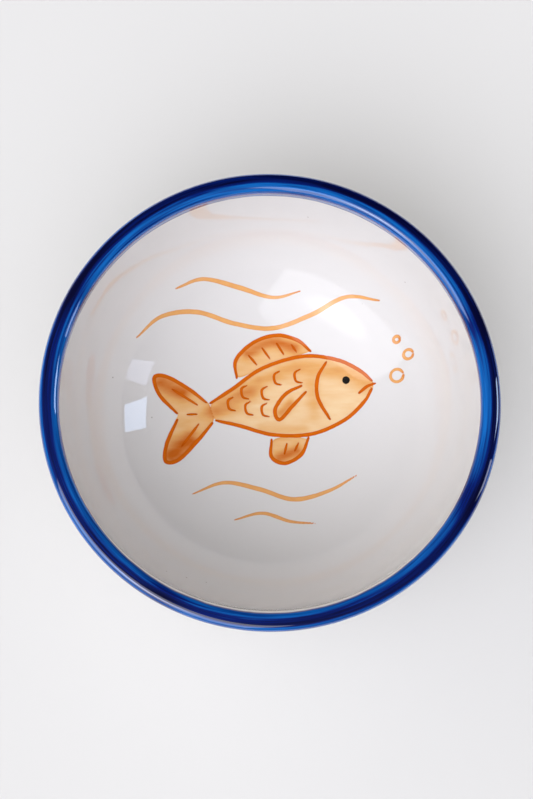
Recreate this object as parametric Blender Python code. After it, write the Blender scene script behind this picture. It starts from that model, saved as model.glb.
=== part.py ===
# A hand-thrown glazed ceramic tapas bowl: one turned solid with a wide, gently dished floor,
# a wall that curves up steeply, a thick level lip with rounded edges and a turned foot ring.
# Metres, +Z up. The origin is on the table, under the middle of the foot ring.
import math

import bmesh
import bpy

MM = 0.001

# Driving dimensions
RIM_RADIUS = 60.0 * MM        # outermost edge of the lip
LIP_INNER_ROUND = 1.8 * MM    # where the lip turns down into the bowl
LIP_CREST = 1.8 * MM          # width of its level top
LIP_OUTER_ROUND = 1.7 * MM    # where it turns down outside
WALL_SLOPE = math.radians(88.5)  # how steeply the inside meets the lip
SLOPE_GROWTH = 3.8            # the wall's slope grows with this power of the radius
FLOOR_DISH = math.radians(5)  # slope that the dished floor adds, most at half the radius
FLOOR_THICKNESS = 5.2 * MM
FOOT_RECESS = 3.2 * MM        # hollow under the floor, inside the foot ring

# Foot ring, as turned: a slightly tapered ring with eased edges
FOOT_BASE_RADIUS = 30.6 * MM
FOOT_BASE_WIDTH = 4.4 * MM
FOOT_TAPER = 1.1 * MM         # how much wider the ring is at its root
FOOT_EASE = 0.6 * MM          # bevel on the ring's two lower edges

# Mesh
AROUND = 96                   # faces round the bowl
LIP_STEPS = 5                 # profile steps in each of the lip's two rounds
FINE_STEPS = 2000             # steps that add up the inside's height
TURN_STEP = math.radians(7.5)  # a profile step turns no more than this
LONGEST_STEP = 8.0 * MM       # or is no longer than this, where it hardly turns
MERGE = 0.001 * MM

GLAZE_COLOUR = (0.68, 0.67, 0.64, 1.0)
GLAZE_ROUGHNESS = 0.08


def remove_everything():
    for thing in list(bpy.data.objects):
        bpy.data.objects.remove(thing, do_unlink=True)


def lip_width():
    return LIP_INNER_ROUND * math.sin(WALL_SLOPE) + LIP_CREST + LIP_OUTER_ROUND


def wall_top_radius():
    """Radius at which the inside wall runs into the lip."""
    return RIM_RADIUS - lip_width()


def inside_slope(radius):
    share = radius / wall_top_radius()
    return WALL_SLOPE * share ** SLOPE_GROWTH + FLOOR_DISH * math.sin(math.pi * share)


def inside_curve():
    """Fine points (radius, height above the floor, slope) from the middle to the top of the wall."""
    step = wall_top_radius() / FINE_STEPS
    height = 0.0
    points = [(0.0, 0.0, 0.0)]
    for k in range(FINE_STEPS):
        height += math.tan(inside_slope(step * (k + 0.5))) * step
        radius = step * (k + 1)
        points.append((radius, height, inside_slope(radius)))
    return points


def inside_stations():
    """The fine points thinned to one for each full step of turn or length, and the wall's top."""
    fine_points = inside_curve()
    stations = [fine_points[0]]
    for point in fine_points[:-1]:
        turn = point[2] - stations[-1][2]
        length = math.dist(point[:2], stations[-1][:2])
        if turn >= TURN_STEP or length >= LONGEST_STEP:
            stations.append(point)
    return stations + [fine_points[-1]]


def arc(centre_radius, centre_height, size, angles):
    """Points on a round of the half section, at these angles inwards from straight up."""
    return [
        (centre_radius - size * math.sin(angle), centre_height + size * math.cos(angle))
        for angle in angles
    ]


def lip_points(wall_height):
    """The lip, from just after the wall's top to its outermost edge."""
    crest_height = wall_height + LIP_INNER_ROUND * (1 - math.cos(WALL_SLOPE))
    outer_radius = RIM_RADIUS - LIP_OUTER_ROUND
    inner_angles = [WALL_SLOPE * (1 - k / LIP_STEPS) for k in range(1, LIP_STEPS + 1)]
    outer_angles = [-math.pi / 2 * k / LIP_STEPS for k in range(LIP_STEPS + 1)]
    inner = arc(outer_radius - LIP_CREST, crest_height - LIP_INNER_ROUND, LIP_INNER_ROUND, inner_angles)
    outer = arc(outer_radius, crest_height - LIP_OUTER_ROUND, LIP_OUTER_ROUND, outer_angles)
    return inner + outer


def outside_points(stations):
    """The outside wall, from the lip down to the foot: the inside moved out by the wall's thickness."""
    top_height = stations[-1][1]
    points = []
    for radius, height, slope in reversed(stations[:-1]):
        thickness = FLOOR_THICKNESS + (lip_width() - FLOOR_THICKNESS) * height / top_height
        out_radius = radius + thickness * math.sin(slope)
        if out_radius <= FOOT_BASE_RADIUS + FOOT_TAPER + FOOT_EASE:
            break
        points.append((out_radius, height - thickness * math.cos(slope)))
    return points


def foot_points(root_height):
    """The foot ring and the recess inside it, with heights from the table."""
    inner_radius = FOOT_BASE_RADIUS - FOOT_BASE_WIDTH
    return [
        (FOOT_BASE_RADIUS + FOOT_TAPER, root_height),
        (FOOT_BASE_RADIUS, FOOT_EASE),
        (FOOT_BASE_RADIUS - FOOT_EASE, 0.0),
        (inner_radius + FOOT_EASE, 0.0),
        (inner_radius, FOOT_EASE),
        (inner_radius - FOOT_TAPER / 2, FOOT_RECESS - FOOT_EASE),
        (inner_radius - FOOT_TAPER / 2 - FOOT_EASE, FOOT_RECESS),
        (0.0, FOOT_RECESS),
    ]


def bowl_profile():
    """Half section from the middle of the inside floor, over the lip, to the middle of the underside."""
    floor_height = FOOT_RECESS + FLOOR_THICKNESS
    stations = inside_stations()
    above_floor = [(radius, height) for radius, height, _ in stations]
    above_floor += lip_points(above_floor[-1][1])
    above_floor += outside_points(stations)
    profile = [(radius, floor_height + height) for radius, height in above_floor]
    root_height = profile[-1][1] - FOOT_EASE
    return profile + foot_points(root_height)


def turned_mesh(name, profile):
    """Spin a half section round +Z into one closed mesh."""
    mesh = bpy.data.meshes.new(name)
    work = bmesh.new()
    verts = [work.verts.new((radius, 0.0, height)) for radius, height in profile]
    edges = [work.edges.new(pair) for pair in zip(verts, verts[1:])]
    bmesh.ops.spin(
        work, geom=verts + edges, cent=(0, 0, 0), axis=(0, 0, 1),
        angle=2 * math.pi, steps=AROUND, use_merge=True,
    )
    bmesh.ops.remove_doubles(work, verts=work.verts, dist=MERGE)
    bmesh.ops.recalc_face_normals(work, faces=work.faces)
    work.to_mesh(mesh)
    work.free()
    mesh.shade_smooth()
    mesh.set_sharp_from_angle(angle=math.radians(35))
    return mesh


def glaze_material():
    """Glossy white tin glaze over fired clay."""
    material = bpy.data.materials.new("white glaze")
    material.use_nodes = True
    shader = material.node_tree.nodes["Principled BSDF"]
    shader.inputs["Base Color"].default_value = GLAZE_COLOUR
    shader.inputs["Roughness"].default_value = GLAZE_ROUGHNESS
    shader.inputs["Metallic"].default_value = 0.0
    return material


def build_bowl():
    mesh = turned_mesh("bowl", bowl_profile())
    mesh.materials.append(glaze_material())
    bowl = bpy.data.objects.new("bowl", mesh)
    bpy.context.scene.collection.objects.link(bowl)
    return bowl


remove_everything()
build_bowl()
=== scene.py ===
import math

import bpy
import numpy as np
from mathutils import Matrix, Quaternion, Vector


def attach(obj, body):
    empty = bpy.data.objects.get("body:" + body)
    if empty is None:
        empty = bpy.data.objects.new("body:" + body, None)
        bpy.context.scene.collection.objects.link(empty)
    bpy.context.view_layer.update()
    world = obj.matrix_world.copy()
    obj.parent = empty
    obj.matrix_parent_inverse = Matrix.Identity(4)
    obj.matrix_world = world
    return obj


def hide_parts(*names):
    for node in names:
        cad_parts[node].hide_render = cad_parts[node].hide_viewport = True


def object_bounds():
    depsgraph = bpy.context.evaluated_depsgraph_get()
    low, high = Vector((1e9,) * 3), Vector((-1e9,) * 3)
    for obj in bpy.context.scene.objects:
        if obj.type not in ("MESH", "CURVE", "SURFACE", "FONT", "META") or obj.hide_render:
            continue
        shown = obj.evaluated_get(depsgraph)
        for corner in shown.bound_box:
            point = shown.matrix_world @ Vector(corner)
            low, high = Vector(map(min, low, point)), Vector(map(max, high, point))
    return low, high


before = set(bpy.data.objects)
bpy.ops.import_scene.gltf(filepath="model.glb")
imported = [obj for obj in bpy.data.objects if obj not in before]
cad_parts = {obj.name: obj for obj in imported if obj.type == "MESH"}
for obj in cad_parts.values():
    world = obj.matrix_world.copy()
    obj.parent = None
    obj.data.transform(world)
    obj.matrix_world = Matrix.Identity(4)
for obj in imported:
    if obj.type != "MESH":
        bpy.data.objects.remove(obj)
cadLow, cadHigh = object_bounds()

mm = 0.001                     # the bowl's sizes are in millimetres until they become a mesh
rimRadius = (cadHigh.x - cadLow.x) / 2 / mm
bowlHeight = cadHigh.z / mm
bpy.context.scene.view_settings.view_transform = "Standard"


# small helpers

def clearSelection():
    if bpy.context.object and bpy.context.object.mode != "OBJECT":
        bpy.ops.object.mode_set(mode="OBJECT")
    bpy.ops.object.select_all(action="DESELECT")


def hexColour(text):
    # sRGB hex to the linear colour that Blender's sockets take
    parts = [int(text[k:k + 2], 16) / 255 for k in (0, 2, 4)]
    return [p / 12.92 if p <= 0.04045 else ((p + 0.055) / 1.055) ** 2.4 for p in parts] + [1.0]


def addNode(tree, kind, inputs=None, stops=None, **settings):
    made = tree.nodes.new(kind)
    for name, value in settings.items():
        setattr(made, name, value)
    for name, value in (inputs or {}).items():
        if isinstance(value, bpy.types.NodeSocket):
            tree.links.new(value, made.inputs[name])
        else:
            made.inputs[name].default_value = value
    if stops:
        elements = made.color_ramp.elements
        while len(elements) < len(stops):
            elements.new(0.5)
        for element, (place, colour) in zip(elements, stops):
            element.position = place
            element.color = colour
    return made


def vertexPlaces(mesh):
    places = np.empty(len(mesh.vertices) * 3)
    mesh.vertices.foreach_get("co", places)
    return places.reshape(-1, 3)


def storeNumbers(mesh, name, numbers):
    stored = mesh.attributes.new(name, "FLOAT", "POINT")
    stored.data.foreach_set("value", numbers.astype(np.float32))


# camera: looks down into the bowl from its near side, a little off straight down

cameraSettings = {
    "film": 36.0,              # mm, its long side
    "lens": 66.05,
    "distance": 376.3,         # from the middle of the lip
    "offVertical": 8.6,        # degrees
    "aim": (-0.83, -0.64),     # so the lip's middle sits a little right of and above the frame's middle
    "sees": (0.01, 20.0),      # metres
}


def placeCamera(settings):
    bpy.ops.object.camera_add()
    camera = bpy.context.object
    camera.name = "camera"
    camera.data.sensor_width = settings["film"]
    camera.data.lens = settings["lens"]
    camera.data.clip_start, camera.data.clip_end = settings["sees"]
    lean = math.radians(settings["offVertical"])
    aim = Vector((*settings["aim"], bowlHeight)) * mm
    back = Vector((0, -math.sin(lean), math.cos(lean)))
    camera.location = aim + back * settings["distance"] * mm
    camera.rotation_euler = (lean, 0, 0)
    bpy.context.scene.camera = camera


clearSelection()
placeCamera(cameraSettings)
print("camera placed")


# bowl: one vertex pulled along the half section, then spun round like a pot on the wheel

bowlForm = {
    "lipInner": 1.8,           # rounds of the lip's two edges, and its level top between them
    "lipCrest": 1.8,
    "lipOuter": 1.7,
    "wallSlope": 88.5,         # degrees, where the inside meets the lip
    "slopeGrowth": 3.8,        # so the floor is wide and the wall steep
    "floorDish": 5.0,          # degrees that the dished floor adds half-way out
    "floorThickness": 5.2,
    "footRecess": 3.2,         # depth of the hollow inside the foot ring
    "footRadius": 30.6,
    "footWidth": 4.4,
    "footTaper": 1.1,          # the ring is so much wider where it leaves the bowl
    "footEase": 0.6,           # its lower edges are rounded over this
    "footBend": 0.3,           # where its middle lies: a half would be a flat bevel
    "around": 512,             # faces round the bowl
    "paintedRadius": 46.0,     # inside this the rings are close, for the brushwork
    "paintedStep": 0.42,
    "pictureRadius": 49.0,     # the band alone is painted outside this
    "wallStep": 1.6,
    "sumStep": 0.01,           # the wall's height is summed up over radius steps this fine
    "lipSteps": 9,             # in each of its two rounds, and fewer across the level top
    "crestSteps": 5,
    "outsideStep": 2.4,
    "recessRings": (0.7, 0.35),   # shares of the ring's inner radius
    "smoothBelow": 35.0,       # degrees between two faces
    "oval": 0.21,              # mm, and its phase in radians
    "ovalPhase": 1.86,
    "threeSided": 0.12,
    "threeSidedPhase": 1.33,
    "lipDip": 0.12,
    "lipDipGrowth": 4,         # power of the height, so the dip is the lip's alone
    "lipDipPhase": 1.2,
}


def lipWidth(form):
    innerPart = form["lipInner"] * math.sin(math.radians(form["wallSlope"]))
    return innerPart + form["lipCrest"] + form["lipOuter"]


def insideSlope(form, share):
    # share of the way from the middle to the top of the wall
    wall = form["wallSlope"] * share ** form["slopeGrowth"]
    return math.radians(wall + form["floorDish"] * math.sin(math.pi * share))


def insideSection(form):
    # radius, height over the floor and slope, from the middle to the top of the wall
    topRadius = rimRadius - lipWidth(form)
    section = [(0.0, 0.0, 0.0)]
    radius = height = sinceLast = 0.0
    while radius < topRadius:
        step = min(form["sumStep"], topRadius - radius)
        slope = insideSlope(form, (radius + step / 2) / topRadius)
        radius += step
        height += math.tan(slope) * step
        sinceLast += step / math.cos(slope)
        wanted = form["paintedStep"] if radius < form["paintedRadius"] else form["wallStep"]
        if sinceLast >= wanted or radius >= topRadius:
            section.append((radius, height, insideSlope(form, radius / topRadius)))
            sinceLast = 0.0
    return section


def lipRound(middle, size, turns):
    # one of the lip's two rounds, at these turns inwards from straight up
    return [(middle - size * math.sin(t), bowlHeight - size * (1 - math.cos(t))) for t in turns]


def footSection(form, wallEnd):
    # the foot ring and the recess inside it, down from where the wall ends
    outer, taper, ease, recess = form["footRadius"], form["footTaper"], form["footEase"], form["footRecess"]
    root = outer + taper
    inner = outer - form["footWidth"]
    bend = form["footBend"] * ease
    ring = [
        (root, wallEnd - ease),
        (root - taper / 2, (wallEnd + ease) / 2),
        (outer, ease),
        (outer - bend, bend),
        (outer - ease, 0),
        (inner + ease, 0),
        (inner + bend, bend),
        (inner, ease),
        (inner - taper / 2, recess - ease),
        (inner - taper / 2 - ease, recess),
    ]
    return ring + [(inner * share, recess) for share in form["recessRings"]] + [(0, recess)]


def bowlSection(form):
    # the whole half section as (radius, height) with the crest's place in the list
    inside = insideSection(form)
    _, topHeight, topSlope = inside[-1]
    floorHeight = bowlHeight - topHeight - form["lipInner"] * (1 - math.cos(topSlope))
    points = [(r, floorHeight + h) for r, h, _ in inside]
    steps = form["lipSteps"]
    outerMiddle = rimRadius - form["lipOuter"]
    innerMiddle = outerMiddle - form["lipCrest"]
    crestStep = form["lipCrest"] / form["crestSteps"]
    innerTurns = [topSlope * (1 - k / steps) for k in range(1, steps + 1)]
    outerTurns = [-math.pi / 2 * k / steps for k in range(steps + 1)]
    points += lipRound(innerMiddle, form["lipInner"], innerTurns)
    points += [(innerMiddle + crestStep * k, bowlHeight) for k in range(1, form["crestSteps"])]
    points += lipRound(outerMiddle, form["lipOuter"], outerTurns)
    crest = len(inside) + steps - 1
    footEdge = form["footRadius"] + form["footTaper"] + form["footEase"]
    for r, h, slope in reversed(inside):
        # the outside wall is the inside moved out, from the lip's width to the floor's thickness
        thickness = form["floorThickness"] + (lipWidth(form) - form["floorThickness"]) * h / topHeight
        out = (r + thickness * math.sin(slope), floorHeight + h - thickness * math.cos(slope))
        if out[0] <= footEdge:
            break
        if math.dist(out, points[-1]) >= form["outsideStep"]:
            points.append(out)
    return points + footSection(form, points[-1][1]), crest


def spinBowl(form):
    points, crest = bowlSection(form)
    bpy.ops.mesh.primitive_plane_add(size=2 * mm, location=(0, 0, points[0][1] * mm))
    bowl = bpy.context.object
    bowl.name = "glazed_bowl"
    bpy.ops.object.mode_set(mode="EDIT")
    bpy.ops.mesh.merge(type="CENTER")
    for (r0, z0), (r1, z1) in zip(points, points[1:]):
        bpy.ops.mesh.extrude_vertices_move(
            TRANSFORM_OT_translate={"value": ((r1 - r0) * mm, 0, (z1 - z0) * mm)})
    bpy.ops.object.mode_set(mode="OBJECT")
    bpy.ops.object.transform_apply(location=True, rotation=True, scale=True)
    lengths = [math.dist(a, b) for a, b in zip(points, points[1:])]
    arc = np.concatenate([[0], np.cumsum(lengths)])
    storeNumbers(bowl.data, "fromCrest", arc - arc[crest])
    bpy.ops.object.mode_set(mode="EDIT")
    bpy.ops.mesh.select_all(action="SELECT")
    bpy.ops.mesh.spin(steps=form["around"], angle=2 * math.pi, center=(0, 0, 0), axis=(0, 0, 1))
    bpy.ops.mesh.select_all(action="SELECT")
    bpy.ops.mesh.remove_doubles(threshold=0.001 * mm)
    bpy.ops.mesh.normals_make_consistent(inside=False)
    bpy.ops.object.mode_set(mode="OBJECT")
    bpy.ops.object.shade_smooth_by_angle(angle=math.radians(form["smoothBelow"]))
    return bowl


def throwByHand(bowl, form):
    # no wheel runs dead true: the wall strays inwards and the lip dips by a few tenths of a millimetre
    mesh = bowl.data
    places = vertexPlaces(mesh)
    angle = np.arctan2(places[:, 1], places[:, 0])
    up = places[:, 2] / (bowlHeight * mm)
    stray = form["oval"] * (1 - np.cos(2 * angle + form["ovalPhase"]))
    stray += form["threeSided"] * (1 - np.cos(3 * angle + form["threeSidedPhase"]))
    places[:, :2] *= (1 - stray / rimRadius * up)[:, None]
    wave = 1 + np.cos(3 * angle + form["lipDipPhase"])
    places[:, 2] -= form["lipDip"] * mm * up ** form["lipDipGrowth"] * wave / 2
    mesh.vertices.foreach_set("co", places.ravel())
    mesh.update()


clearSelection()
bowl = spinBowl(bowlForm)
throwByHand(bowl, bowlForm)
print("bowl spun:", len(bowl.data.vertices), "vertices", len(bowl.data.polygons), "faces")


# picture: a fish between waves, painted with a soft brush before the clear glaze. Millimetres on the plan

brushHand = {
    "spacing": 0.6,            # of the points on a stroke's path
    "coarseSpacing": 1.5,      # and on a pool's, which has no edge
    "swells": 0.7,             # power that a stroke swells with from its ends
    "flow": 0.35,              # colour that a stroke leaves all along
    "lands": (0.4, 0.8),       # more of it where the brush lands, and over how long
    "lifts": (0.65, 1.2),      # and where it lifts
    "reach": 4.0,              # farther than this from a coat, its edge isn't worked out
}

fishPicture = {
    "turn": 9.0,               # degrees, head up
    "middle": (2.6, 5.6),      # the fish's own middle, from the bowl's
    "outlineWidth": 1.1,
    "outlineEnds": (0.6, 5.0),   # width of a stroke's ends as a share, and how long they take to swell
    "back": [(27.6, 1.9), (24.5, 5.6), (18.5, 9.8), (9.0, 12.4), (-3.0, 10.8), (-12.5, 6.2), (-19.5, 3.0)],
    "belly": [(27.2, -0.4), (24.4, -3.8), (18.0, -8.0), (8.0, -10.4), (-3.0, -8.8), (-12.0, -4.8),
              (-18.6, -2.2)],
    "tailUp": [(-20.6, 3.4), (-24.8, 7.8), (-30.6, 12.2), (-34.2, 12.4), (-33.6, 7.4), (-29.4, 1.4)],
    "tailDown": [(-19.8, -2.8), (-24.6, -7.2), (-30.8, -12.0), (-34.6, -12.0), (-33.6, -7.0),
                 (-29.6, -0.4)],
    "topFin": [(11.6, 13.4), (8.4, 17.2), (2.6, 19.6), (-4.4, 18.6), (-10.2, 14.4), (-10.8, 9.2)],
    "underFin": [(7.0, -11.4), (4.2, -15.8), (-0.8, -17.6), (-4.4, -15.2), (-3.6, -10.2)],
    "sideFin": [(8.4, 2.0), (4.0, -1.4), (-0.4, -4.8), (-1.2, -1.6), (2.6, 2.4), (7.4, 4.0)],
    "gill": [(15.6, 9.6), (12.4, 5.4), (11.6, -0.4), (14.0, -7.0)],
    "mouth": [(28.4, 0.9), (26.0, 0.5), (23.4, -1.0)],
    "eye": (20.4, 3.4),
    "eyeRadius": 1.12,
    "rayWidth": 0.78,          # thinner strokes: fin rays and scales
    "rayEnds": (0.5, 2.0),
    "rays": [
        [(7.6, 13.8), (6.4, 16.4)], [(3.8, 13.8), (2.2, 17.4)], [(-0.4, 13.2), (-2.2, 16.8)],
        [(-4.4, 12.0), (-6.4, 15.2)], [(-23.2, 3.0), (-29.8, 8.6)], [(-23.8, 0.4), (-26.6, 0.7)],
        [(-23.6, -2.4), (-29.6, -8.4)], [(4.0, -12.2), (2.4, -14.6)], [(0.6, -12.0), (-0.6, -14.9)],
    ],
    "scales": [(6.6, 6.8), (0.6, 7.2), (-3.6, 3.4), (-4.4, -1.4), (-9.4, 4.6), (-9.0, -0.2), (-13.8, 1.8)],
    "scaleHeight": 2.0,        # half of it
    "scaleEnds": 0.6,          # its ends and its middle, as shares of that
    "scaleMiddle": 0.25,
    "bodyLoad": 0.12,          # how much colour the washes hold, and the fins'
    "finLoad": 0.34,
    "tailRoots": [(-19.6, 2.8), (-19.0, -2.4)],   # corners that the washes have and the outlines don't
    "topFinRoot": (0.0, 11.4),
    "underFinRoot": (2.0, -9.6),
    "shifts": {                # the washes were laid a little off their outlines
        "body": (0.3, -0.3), "tail": (-0.3, 0.3), "topFin": (0.4, 0.2), "underFin": (0.2, -0.4),
    },
    "pools": [                 # where the wet wash gathered: path, reach in millimetres and how much darker
        ([(26.0, 1.6), (18.0, 6.6), (8.0, 9.2), (-4.0, 7.4)], 2.6, 0.40),
        ([(-8.0, 4.6), (-13.0, 2.4), (-18.0, 0.6)], 3.2, 0.58),
        ([(10.5, 4.0), (9.8, -5.0)], 2.2, 0.30), ([(-6.0, -6.6), (6.0, -8.6)], 1.8, 0.25),
        ([(-27.0, 7.2), (-32.6, 10.6)], 2.6, 0.60), ([(-27.0, -6.8), (-32.8, -10.4)], 2.8, 0.66),
        ([(7.0, 15.2), (1.0, 17.8), (-6.5, 15.8)], 1.9, 0.55), ([(3.0, -14.4), (-2.4, -15.8)], 1.7, 0.60),
        ([(3.4, -0.6), (0.2, -3.0)], 1.5, 0.55),
    ],
    "washStreaks": (8.0, 2.0),   # the washes' streaks: their length along the fish and the gap between them
}

seaPicture = {
    "waveWidth": 1.3,
    "waveEnds": (0.25, 16.0),
    "waves": [
        [(-38.0, 23.0), (-31.0, 29.5), (-21.0, 31.5), (-10.0, 28.6), (1.0, 27.4), (12.0, 31.0),
         (22.0, 35.4), (32.0, 33.4)],
        [(-27.0, 37.0), (-19.0, 40.2), (-9.0, 38.6), (1.0, 36.0), (9.0, 37.6)],
        [(-22.0, -21.0), (-13.0, -17.6), (-3.0, -19.4), (7.0, -22.4), (17.0, -20.0), (25.0, -15.6)],
        [(-10.0, -28.4), (-2.0, -26.4), (6.0, -28.8), (13.0, -29.4)],
    ],
    "bubbles": [(36.6, 12.8, 1.8), (39.6, 18.4, 1.3), (36.4, 22.8, 0.9)],   # place and radius
    "bubbleWidth": 0.8,
    "bubbleEnds": (0.7, 1.0),
    "bubbleStart": 0.4,        # radians, and the brush goes nearly once round
    "bubbleTurn": 1.9 * math.pi,
    "bubblePoints": 9,
}


def brushPath(points, spacing):
    # a smooth path through a few points, as the hand pulls the brush
    if len(points) == 2:
        points = [points[0], [(p + q) / 2 for p, q in zip(*points)], points[1]]
    points = np.array(points, float)
    points = np.vstack([2 * points[0] - points[1], points, 2 * points[-1] - points[-2]])
    path = [points[1:2]]
    for a, b, c, d in zip(points, points[1:], points[2:], points[3:]):
        count = max(2, int(math.dist(b, c) / spacing))
        t = (np.arange(1, count + 1) / count)[:, None]
        squared = (2 * a - 5 * b + 4 * c - d) * t ** 2
        cubed = (3 * b - a - 3 * c + d) * t ** 3
        path.append(b + ((c - a) * t + squared + cubed) / 2)
    return np.vstack(path)


def nearestOnPath(where, path):
    # how far each place is from the path, how far along it that is, and the path's length
    run = path[1:] - path[:-1]
    length = np.hypot(run[:, 0], run[:, 1])
    along = ((where[:, None] - path[:-1]) * run).sum(2) / length ** 2
    along = np.clip(along, 0, 1)
    gap = where[:, None] - path[:-1] - along[..., None] * run
    distance = np.hypot(gap[..., 0], gap[..., 1])
    nearest = distance.argmin(1)
    rows = np.arange(len(where))
    before = np.concatenate([[0], np.cumsum(length)])
    return distance[rows, nearest], before[nearest] + along[rows, nearest] * length[nearest], before[-1]


def insideOutline(where, path):
    # a line drawn from each place to the right crosses the outline an odd number of times
    following = np.roll(path, -1, axis=0)
    x, y = where[:, :1], where[:, 1:]
    spans = (path[:, 1] > y) != (following[:, 1] > y)
    slope = (following[:, 0] - path[:, 0]) / (following[:, 1] - path[:, 1] + 1e-12)
    return (spans & (x < path[:, 0] + (y - path[:, 1]) * slope)).sum(1) % 2 == 1


class Coat:
    # one coat of colour: millimetres to its edge, negative inside, and how much pigment lies there
    def __init__(self, name, where):
        self.name, self.where = name, where
        self.edge = np.full(len(where), brushHand["reach"])
        self.load = np.zeros(len(where))

    def within(self, path):
        low, high = path.min(0) - brushHand["reach"], path.max(0) + brushHand["reach"]
        return np.flatnonzero(np.all((self.where > low) & (self.where < high), axis=1))

    def stroke(self, points, width, thinEnd, taper):
        path = brushPath(points, brushHand["spacing"])
        near = self.within(path)
        distance, along, length = nearestOnPath(self.where[near], path)
        fromEnd = np.minimum(along, length - along)
        swell = np.clip(fromEnd / taper, 0, 1) ** brushHand["swells"]
        halfWidth = width / 2 * (thinEnd + (1 - thinEnd) * swell)
        (landing, landed), (lifting, lifted) = brushHand["lands"], brushHand["lifts"]
        pooled = brushHand["flow"] + lifting * np.exp(-(length - along) / lifted)
        self.lay(near, distance - halfWidth, pooled + landing * np.exp(-along / landed))

    def fill(self, points, load):
        path = brushPath(points + points[:1], brushHand["spacing"])
        near = self.within(path)
        distance, _, _ = nearestOnPath(self.where[near], path)
        self.lay(near, np.where(insideOutline(self.where[near], path), -distance, distance), load)

    def deepen(self, points, reach, extra):
        distance, _, _ = nearestOnPath(self.where, brushPath(points, brushHand["coarseSpacing"]))
        self.load += extra * np.exp(-(distance / reach) ** 2)

    def lay(self, near, edge, load):
        closer = edge < self.edge[near]
        self.load[near] = np.where(closer, np.clip(load, 0, 1), self.load[near])
        self.edge[near] = np.minimum(edge, self.edge[near])

    def store(self, mesh, painted):
        parts = (("Edge", self.edge, brushHand["reach"]), ("Load", self.load, 0.0))
        for part, values, elsewhere in parts:
            everywhere = np.full(len(mesh.vertices), elsewhere, np.float32)
            everywhere[painted] = values
            storeNumbers(mesh, self.name + part, everywhere)


def ontoFish(points, look, shift=(0.0, 0.0)):
    # from the fish's own plan, head to the right and level, to its place in the bowl
    cosine, sine = math.cos(math.radians(look["turn"])), math.sin(math.radians(look["turn"]))
    middleX, middleY = look["middle"][0] + shift[0], look["middle"][1] + shift[1]
    return [(middleX + x * cosine - y * sine, middleY + x * sine + y * cosine) for x, y in points]


def scaleArc(x, y, look):
    height = look["scaleHeight"]
    ends, middle = look["scaleEnds"] * height, look["scaleMiddle"] * height
    return [(x + ends, y + height), (x - middle, y + ends), (x - middle, y - ends), (x + ends, y - height)]


def paintFish(look, outlines, washes):
    for part in ("back", "belly", "tailUp", "tailDown", "topFin", "underFin", "sideFin", "gill", "mouth"):
        outlines.stroke(ontoFish(look[part], look), look["outlineWidth"], *look["outlineEnds"])
    for line in look["rays"] + [scaleArc(x, y, look) for x, y in look["scales"]]:
        outlines.stroke(ontoFish(line, look), look["rayWidth"], *look["rayEnds"])
    tailTop, tailBottom = look["tailRoots"]
    shapes = {
        "body": look["back"] + look["belly"][::-1],
        "tail": [tailTop] + look["tailUp"][1:] + look["tailDown"][:0:-1] + [tailBottom],
        "topFin": look["topFin"] + [look["topFinRoot"]],
        "underFin": look["underFin"] + [look["underFinRoot"]],
    }
    for part, shape in shapes.items():
        load = look["bodyLoad"] if part == "body" else look["finLoad"]
        washes.fill(ontoFish(shape, look, look["shifts"][part]), load)
    for line, reach, extra in look["pools"]:
        washes.deepen(ontoFish(line, look), reach, extra)


def paintSea(look, waves):
    for line in look["waves"]:
        waves.stroke(line, look["waveWidth"], *look["waveEnds"])
    start = look["bubbleStart"]
    for x, y, radius in look["bubbles"]:
        turn = np.linspace(start, start + look["bubbleTurn"], look["bubblePoints"])
        ring = list(zip(x + radius * np.cos(turn), y + radius * np.sin(turn)))
        waves.stroke(ring, look["bubbleWidth"], *look["bubbleEnds"])


# band: the blue round the lip. The brush stood still while the bowl turned, and ran round the top twice, so
# the thinner colour has a darker strip on it. Round the bowl, painted light and shade make the band paler
# and softer toward the big softbox and darker on its shaded far side. Degrees run from the right, over the
# far side

rimBand = {
    "inside": 2.8,             # mm from the crest's inner end, down the inside
    "dips": 1.75,              # and so much deeper at the far side, as much less at the near one
    "outside": 9.2,            # and down the outside
    "darkFrom": 0.68,          # the dark strip, from the crest's inner end outwards
    "darkTo": 2.7,
    "paintedShadeShift": 0.25,            # painted shade: the strip reaches so much farther out on the shaded far side, and as much less facing the softbox
    "paintedShadeAt": 50,
    "paintedLightAt": 235,             # painted light and shade: the side facing the big softbox, where the strip is painted softest and palest; it is sharpest and darkest opposite, in shade
    "soft": (0.13, 0.32),      # how soft its inner edge is, opposite and here
    "outerSoft": 0.13,         # and its outer edge, all round
    "light": (0.17, 0.24),     # how much colour lies in the thin part, opposite and here
    "dark": (0.97, 0.78),      # and in the strip
    "narrows": 0.5,            # painted light: the strip ends so much sooner here, on the lit outer slope, and only close to here
    "narrowsGrowth": 8,
    "streakLength": 22.0,
    "streakWidth": 0.5,
    "overlaps": [              # where the brush was loaded again: degrees, reach in degrees, how much darker
        (20.0, 5.0, 0.28), (-27.0, 5.5, 0.3), (152.0, 6.0, 0.2), (-118.0, 5.0, 0.2),
    ],
}


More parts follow.
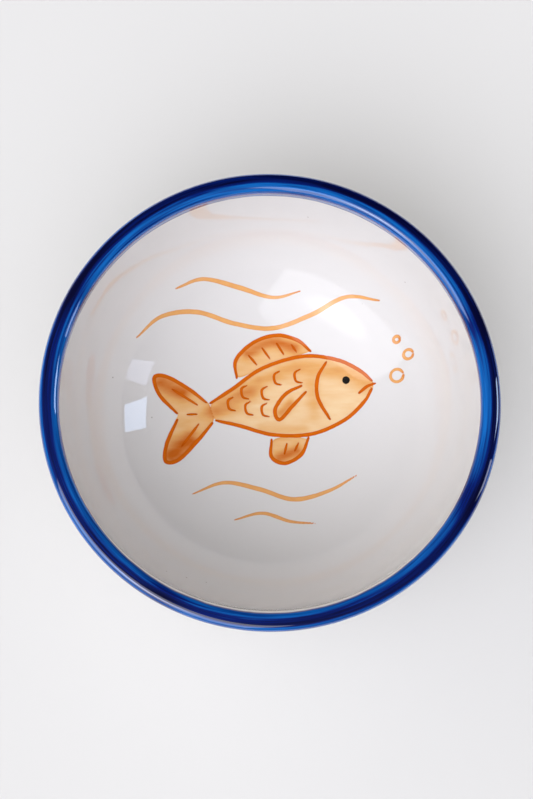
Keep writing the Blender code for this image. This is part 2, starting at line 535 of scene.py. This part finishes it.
def paintRim(band, fromCrest, angle, mesh):
    # a coat like the others, and long streaks round the bowl for its colour to follow
    blue = Coat("band", fromCrest)
    inside = -band["inside"] - band["dips"] * np.sin(angle)
    blue.edge = np.maximum(inside - fromCrest, fromCrest - band["outside"])
    # painted light and shade: 1 on the side facing the big softbox, 0 on the shaded far side
    paintedLightSide = (1 + np.cos(angle - math.radians(band["paintedLightAt"]))) / 2
    pairs = (band["soft"], band["light"], band["dark"])
    soft, light, dark = [first + (second - first) * paintedLightSide for first, second in pairs]
    paintedShadeShift = band["paintedShadeShift"] * np.cos(angle - math.radians(band["paintedShadeAt"]))
    darkFrom = band["darkFrom"] + paintedShadeShift
    darkTo = band["darkTo"] + paintedShadeShift - band["narrows"] * paintedLightSide ** band["narrowsGrowth"]
    thick = 1 / (1 + np.exp((darkFrom - fromCrest) / soft))
    thick = thick / (1 + np.exp((fromCrest - darkTo) / band["outerSoft"]))
    blue.load = light + (dark - light) * thick
    for middle, reach, extra in band["overlaps"]:
        off = (np.degrees(angle) - middle + 180) % 360 - 180
        blue.load += extra * np.exp(-(off / reach) ** 2)
    blue.store(mesh, np.arange(len(fromCrest)))
    turns = rimRadius / band["streakLength"]
    streak = np.stack([np.cos(angle) * turns, np.sin(angle) * turns, fromCrest / band["streakWidth"]], axis=1)
    mesh.attributes.new("streak", "FLOAT_VECTOR", "POINT").data.foreach_set("vector", streak.ravel())


def paintBowl(bowl):
    mesh = bowl.data
    places = vertexPlaces(mesh) / mm
    fromCrest = np.empty(len(places))
    mesh.attributes["fromCrest"].data.foreach_get("value", fromCrest)
    fromMiddle = np.hypot(places[:, 0], places[:, 1])
    painted = np.flatnonzero((fromCrest < 0) & (fromMiddle < bowlForm["pictureRadius"]))
    where = places[painted, :2]
    coats = {name: Coat(name, where) for name in ("wash", "wave", "line", "eye")}
    paintFish(fishPicture, coats["line"], coats["wash"])
    paintSea(seaPicture, coats["wave"])
    eye = ontoFish([fishPicture["eye"]], fishPicture)[0]
    coats["eye"].edge = np.hypot(*(where - eye).T) - fishPicture["eyeRadius"]
    for coat in coats.values():
        coat.store(mesh, painted)
    paintRim(rimBand, fromCrest, np.arctan2(places[:, 1], places[:, 0]), mesh)


paintBowl(bowl)
print("picture and band painted")


# glazed earthenware: fired clay under white tin glaze, the colours sunk into it and a clear glassy skin on
# top, so every colour has the same wet gloss and mirrors the room

glazeLook = {
    "white": "dcdad8",
    "roughness": 0.02,
    "index": 1.6,              # lead glaze
    "bandFades": 0.3,          # mm on each side of the band's edge
    "speck": "8c8275",
    "speckGap": 5.5,
    "speckless": 0.84,         # share of the places for a speck that have none
    "speckEdge": 0.055,        # its edge and its full middle, as shares of the gap
    "speckMiddle": 0.03,
    "speckStrength": 0.7,
    "clay": "cdb08e",
    "clayBelow": 0.75,         # mm over the table: the foot's edge was wiped clean of glaze
    "clayFades": 0.06,
    "clayStrays": 0.15,        # the wiped edge wanders so much, over this length
    "clayStraysOver": 4.0,
    "clayRoughness": 0.85,
    "rippleLength": 16.0,
    "rippleHeight": 0.05,
}

# each coat over the last: its colour where thin and where thick, and in millimetres how far its edge creeps,
# how soft that is and how far from it the wet colour dried darker
coatLooks = [
    dict(coat="wash", thin="f0d2a6", middle="e2a968", thick="c8641c", creep=0.10, soft=0.10,
         dries=0.7, darker=0.14, mottle=0.12, grain=2.6, follows="fish"),
    dict(coat="wave", thin="eeb876", thick="d0803a", creep=0.05, soft=0.09,
         dries=0.3, darker=0.3, mottle=0.12, grain=2.2),
    dict(coat="line", thin="da6c12", thick="b84c00", creep=0.06, soft=0.08,
         dries=0.3, darker=0.3, mottle=0.15, grain=1.6),
    dict(coat="eye", thin="1d1c1a", thick="1d1c1a", creep=0.08, soft=0.09, grain=1.2),
    # the blue bled into the white glaze as a thin purplish fringe, painted darker than that alone so that it
    # also carries the shade where the lip turns down into the wall
    dict(coat="band", wider=0.4, thin="59577a", thick="59577a", creep=0.2, soft=0.3, grain=7.0),
    dict(coat="band", thin="0e68ba", middle="011a66", thick="00022a", creep=0.12, soft=0.12,
         mottle=0.34, grain=7.0, follows="streak"),
]


def layCoat(tree, colour, look, places):
    # the colour so far, with this coat over it. Noise that isn't normalized swings about zero
    pattern = addNode(tree, "ShaderNodeTexNoise", {
        "Vector": places["bowl"], "Scale": 1 / (look["grain"] * mm), "Detail": 2.0}, normalize=False)
    pattern = pattern.outputs["Fac"]
    edge = addNode(tree, "ShaderNodeAttribute", attribute_name=look["coat"] + "Edge").outputs["Fac"]
    edge = addNode(tree, "ShaderNodeMath", {0: edge, 1: look.get("wider", 0.0)},
                   operation="SUBTRACT").outputs[0]
    crept = addNode(tree, "ShaderNodeMath", {0: pattern, 1: look["creep"], 2: edge},
                    operation="MULTIPLY_ADD").outputs[0]
    mask = addNode(tree, "ShaderNodeMapRange", {
        "Value": crept, "From Min": look["soft"], "From Max": -look["soft"]},
        interpolation_type="SMOOTHSTEP").outputs[0]
    amount = addNode(tree, "ShaderNodeAttribute", attribute_name=look["coat"] + "Load").outputs["Fac"]
    if "dries" in look:
        rim = addNode(tree, "ShaderNodeMapRange", {
            "Value": edge, "From Min": -look["dries"], "From Max": 0.0, "To Max": look["darker"]},
            interpolation_type="SMOOTHERSTEP").outputs[0]
        amount = addNode(tree, "ShaderNodeMath", {0: amount, 1: rim}, operation="ADD").outputs[0]
    if "mottle" in look:
        if "follows" in look:
            pattern = addNode(tree, "ShaderNodeTexNoise", {
                "Vector": places[look["follows"]], "Scale": 1.0, "Detail": 3.0}, normalize=False)
            pattern = pattern.outputs["Fac"]
        amount = addNode(tree, "ShaderNodeMath", {0: pattern, 1: look["mottle"], 2: amount},
                         operation="MULTIPLY_ADD").outputs[0]
    stops = [(0.0, hexColour(look["thin"])), (1.0, hexColour(look["thick"]))]
    if "middle" in look:
        stops.insert(1, (0.5, hexColour(look["middle"])))
    paint = addNode(tree, "ShaderNodeValToRGB", {0: amount}, stops=stops).outputs[0]
    return addNode(tree, "ShaderNodeMix", {0: mask, 6: colour, 7: paint}, data_type="RGBA").outputs[2]


def speckledWhite(tree, look, place):
    # white glaze, with sparse iron specks
    cells = addNode(tree, "ShaderNodeTexVoronoi", {"Vector": place, "Scale": 1 / (look["speckGap"] * mm)})
    chance = addNode(tree, "ShaderNodeSeparateColor", {0: cells.outputs["Color"]}).outputs["Red"]
    few = addNode(tree, "ShaderNodeMath", {0: chance, 1: look["speckless"]}, operation="GREATER_THAN")
    dot = addNode(tree, "ShaderNodeMapRange", {
        "Value": cells.outputs["Distance"], "From Min": look["speckEdge"], "From Max": look["speckMiddle"],
        "To Max": look["speckStrength"]})
    speck = addNode(tree, "ShaderNodeMath", {0: few.outputs[0], 1: dot.outputs[0]}, operation="MULTIPLY")
    white, brown = hexColour(look["white"]), hexColour(look["speck"])
    return addNode(tree, "ShaderNodeMix", {0: speck.outputs[0], 6: white, 7: brown},
                   data_type="RGBA").outputs[2]


def bareClay(tree, look, place):
    # 1 where the foot's edge is bare clay
    ragged = addNode(tree, "ShaderNodeTexNoise", {
        "Vector": place, "Scale": 1 / (look["clayStraysOver"] * mm)}, normalize=False).outputs["Fac"]
    height = addNode(tree, "ShaderNodeSeparateXYZ", {0: place}).outputs["Z"]
    height = addNode(tree, "ShaderNodeMath", {0: ragged, 1: look["clayStrays"] * mm, 2: height},
                     operation="MULTIPLY_ADD").outputs[0]
    return addNode(tree, "ShaderNodeMapRange", {
        "Value": height, "From Min": (look["clayBelow"] + look["clayFades"]) * mm,
        "From Max": (look["clayBelow"] - look["clayFades"]) * mm}).outputs[0]


def glazedEarthenware(look, coats):
    material = bpy.data.materials.new("glazed earthenware")
    material.use_nodes = True
    tree = material.node_tree
    shader = tree.nodes["Principled BSDF"]
    shader.inputs["IOR"].default_value = look["index"]
    shader.inputs["Coat IOR"].default_value = look["index"]
    shader.inputs["Coat Roughness"].default_value = look["roughness"]
    place = addNode(tree, "ShaderNodeTexCoord").outputs["Object"]

    # the blue lies under a second clear coat, so it mirrors most
    bandEdge = addNode(tree, "ShaderNodeAttribute", attribute_name="bandEdge").outputs["Fac"]
    coated = addNode(tree, "ShaderNodeMapRange", {
        "Value": bandEdge, "From Min": look["bandFades"], "From Max": -look["bandFades"]})
    tree.links.new(coated.outputs[0], shader.inputs["Coat Weight"])

    # what the colours' patterns follow
    streakLength, streakGap = fishPicture["washStreaks"]
    streak = addNode(tree, "ShaderNodeAttribute", attribute_name="streak").outputs["Vector"]
    fish = addNode(tree, "ShaderNodeMapping", {
        "Vector": place, "Rotation": (0, 0, -math.radians(fishPicture["turn"])),
        "Scale": (1 / (streakLength * mm), 1 / (streakGap * mm), 1 / (streakGap * mm))}).outputs[0]
    places = {"bowl": place, "streak": streak, "fish": fish}

    colour = speckledWhite(tree, look, place)
    for coat in coats:
        colour = layCoat(tree, colour, coat, places)
    bare = bareClay(tree, look, place)
    colour = addNode(tree, "ShaderNodeMix", {0: bare, 6: colour, 7: hexColour(look["clay"])},
                     data_type="RGBA").outputs[2]
    tree.links.new(colour, shader.inputs["Base Color"])
    gloss = addNode(tree, "ShaderNodeMapRange", {
        "Value": bare, "To Min": look["roughness"], "To Max": look["clayRoughness"]})
    tree.links.new(gloss.outputs[0], shader.inputs["Roughness"])

    # the glaze ran a little before it set, so what it mirrors has soft, uneven edges
    ripple = addNode(tree, "ShaderNodeTexNoise", {
        "Vector": place, "Scale": 1 / (look["rippleLength"] * mm), "Detail": 1.0})
    bump = addNode(tree, "ShaderNodeBump", {
        "Height": ripple.outputs["Fac"], "Distance": look["rippleHeight"] * mm})
    tree.links.new(bump.outputs["Normal"], shader.inputs["Normal"])
    tree.links.new(bump.outputs["Normal"], shader.inputs["Coat Normal"])
    return material


bowl.data.materials.append(glazedEarthenware(glazeLook, coatLooks))
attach(bowl, "root")
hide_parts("bowl")
print("bowl glazed")


# floor: plain, pale and matt

floorLook = {
    "colour": "d7d6d3",
    "roughness": 0.9,
    "side": 4.0,               # metres
}


def layFloor(look):
    bpy.ops.mesh.primitive_plane_add(size=look["side"])
    floor = bpy.context.object
    floor.name = "floor"
    material = bpy.data.materials.new("matt pale floor")
    material.use_nodes = True
    shader = material.node_tree.nodes["Principled BSDF"]
    shader.inputs["Base Color"].default_value = hexColour(look["colour"])
    shader.inputs["Roughness"].default_value = look["roughness"]
    floor.data.materials.append(material)


clearSelection()
layFloor(floorLook)
print("floor laid")


# studio light: a big softbox, narrowing upwards, over the near left and a small two-pane one at the right.
# Each faces the bowl from a metre away, and its sizes are in metres

softboxes = {
    "big_softbox": dict(
        azimuth=-130, elevation=50, width=1.29, height=1.11, rise=0.093, side=0.0, lean=0.0,
        radiance=1.5, colour="f7f8ff",
        narrows=0.58, rounds=0.45, roundsGrowth=16.0, edge=(1.01, 0.98),   # its outline
        glow=3.0, glowReach=0.27),                                        # brighter round its middle
    "right_pane_near": dict(
        azimuth=-2, elevation=35, width=0.14, height=0.525, rise=0.027, side=-0.125, lean=-7.8,
        radiance=2.7, colour="d6e0ff"),
    "right_pane_far": dict(
        azimuth=-2, elevation=35, width=0.17, height=0.44, rise=0.116, side=0.147, lean=6.2,
        radiance=5.8, colour="c2dbff"),
}


def shapeSoftbox(lamp, box):
    # Parametric runs from 0 to 1 over the lamp's width and its height
    lamp.data.use_nodes = True
    tree = lamp.data.node_tree
    place = addNode(tree, "ShaderNodeNewGeometry").outputs["Parametric"]
    size = (box["width"], box["height"], 0.0)
    away = addNode(tree, "ShaderNodeVectorMath", {0: place, 1: size, 2: [-part / 2 for part in size]},
                   operation="MULTIPLY_ADD")
    away = addNode(tree, "ShaderNodeVectorMath", {0: away.outputs["Vector"]}, operation="LENGTH")
    glow = addNode(tree, "ShaderNodeMapRange", {
        "Value": away.outputs["Value"], "From Min": box["glowReach"], "From Max": 0.0,
        "To Min": 1.0, "To Max": 1.0 + box["glow"]}, interpolation_type="SMOOTHERSTEP").outputs[0]
    parts = addNode(tree, "ShaderNodeSeparateXYZ", {0: place})
    aside = addNode(tree, "ShaderNodeMath", {0: parts.outputs["X"], 1: 0.5}, operation="SUBTRACT")
    aside = addNode(tree, "ShaderNodeMath", {0: aside.outputs[0]}, operation="ABSOLUTE").outputs[0]
    high = addNode(tree, "ShaderNodeMath", {0: parts.outputs["Y"], 1: box["roundsGrowth"]},
                   operation="POWER").outputs[0]
    outline = addNode(tree, "ShaderNodeMath", {0: parts.outputs["Y"], 1: box["narrows"]},
                      operation="MULTIPLY").outputs[0]
    outline = addNode(tree, "ShaderNodeMath", {0: high, 1: box["rounds"], 2: outline},
                      operation="MULTIPLY_ADD").outputs[0]
    outline = addNode(tree, "ShaderNodeMath", {0: aside, 1: 2.0, 2: outline},
                      operation="MULTIPLY_ADD").outputs[0]
    dark, bright = box["edge"]
    inside = addNode(tree, "ShaderNodeMapRange", {"Value": outline, "From Min": dark, "From Max": bright})
    strength = addNode(tree, "ShaderNodeMath", {0: inside.outputs[0], 1: glow}, operation="MULTIPLY")
    tree.links.new(strength.outputs[0], tree.nodes["Emission"].inputs["Strength"])


def towardsSide(azimuth, elevation):
    azimuth, elevation = math.radians(azimuth), math.radians(elevation)
    level = math.cos(elevation)
    return Vector((math.cos(azimuth) * level, math.sin(azimuth) * level, math.sin(elevation)))


def addSoftbox(name, box):
    outward = towardsSide(box["azimuth"], box["elevation"])
    azimuth = math.radians(box["azimuth"])
    across = Vector((-math.sin(azimuth), math.cos(azimuth), 0))
    up = outward.cross(across)
    bpy.ops.object.light_add(type="AREA", location=outward + up * box["rise"] + across * box["side"])
    lamp = bpy.context.object
    lamp.name = name
    lean = Quaternion((0, 0, 1), math.radians(box["lean"]))
    lamp.rotation_euler = (outward.to_track_quat("Z", "Y") @ lean).to_euler()
    lamp.data.shape = "RECTANGLE"
    lamp.data.size = box["width"]
    lamp.data.size_y = box["height"]
    lamp.data.energy = box["radiance"] * math.pi * box["width"] * box["height"]
    lamp.data.color = hexColour(box["colour"])[:3]
    lamp.visible_camera = False
    lamp.visible_diffuse = False           # its light on the clay comes with the room's
    if "glow" in box:
        shapeSoftbox(lamp, box)


for lightName, box in softboxes.items():
    addSoftbox(lightName, box)

# the room's own soft light: azimuth, elevation and strength of each bright side, cool where the softboxes
# stand and warm elsewhere. The glaze mirrors little of it
roomLight = {
    "cool": [(-130, 50, 3.25), (-85, 50, 1.27), (-2, 35, 0.47)],
    "warm": [(185, 50, 0.46), (-85, 15, 0.18), (-40, 15, 0.11), (5, 15, 0.35), (50, 15, 0.33),
             (140, 15, 1.60), (0, 90, 0.42)],
    "coolColour": "f5f6ff",
    "warmColour": "fffdf9",
    "spread": 6.0,             # power of the cosine: more makes each side narrower
    "mirrored": 0.04,
}


def lightRoom(room):
    world = bpy.data.worlds.new("room")
    bpy.context.scene.world = world
    world.use_nodes = True
    tree = world.node_tree
    direction = addNode(tree, "ShaderNodeTexCoord").outputs["Generated"]
    total = (0.0, 0.0, 0.0)
    sides = [(*side, room[kind + "Colour"]) for kind in ("cool", "warm") for side in room[kind]]
    for azimuth, elevation, strength, colour in sides:
        towards = towardsSide(azimuth, elevation)
        facing = addNode(tree, "ShaderNodeVectorMath", {0: direction, 1: towards}, operation="DOT_PRODUCT")
        facing = addNode(tree, "ShaderNodeMath", {0: facing.outputs["Value"], 1: 0.0}, operation="MAXIMUM")
        lobe = addNode(tree, "ShaderNodeMath", {0: facing.outputs[0], 1: room["spread"]}, operation="POWER")
        light = [strength * part for part in hexColour(colour)[:3]]
        total = addNode(tree, "ShaderNodeVectorMath", {0: lobe.outputs[0], 1: light, 2: total},
                        operation="MULTIPLY_ADD").outputs[0]
    ray = addNode(tree, "ShaderNodeLightPath")
    share = addNode(tree, "ShaderNodeMapRange", {
        "Value": ray.outputs["Is Glossy Ray"], "To Min": 1.0, "To Max": room["mirrored"]})
    tree.links.new(total, tree.nodes["Background"].inputs["Color"])
    tree.links.new(share.outputs[0], tree.nodes["Background"].inputs["Strength"])


lightRoom(roomLight)
print("lights set")
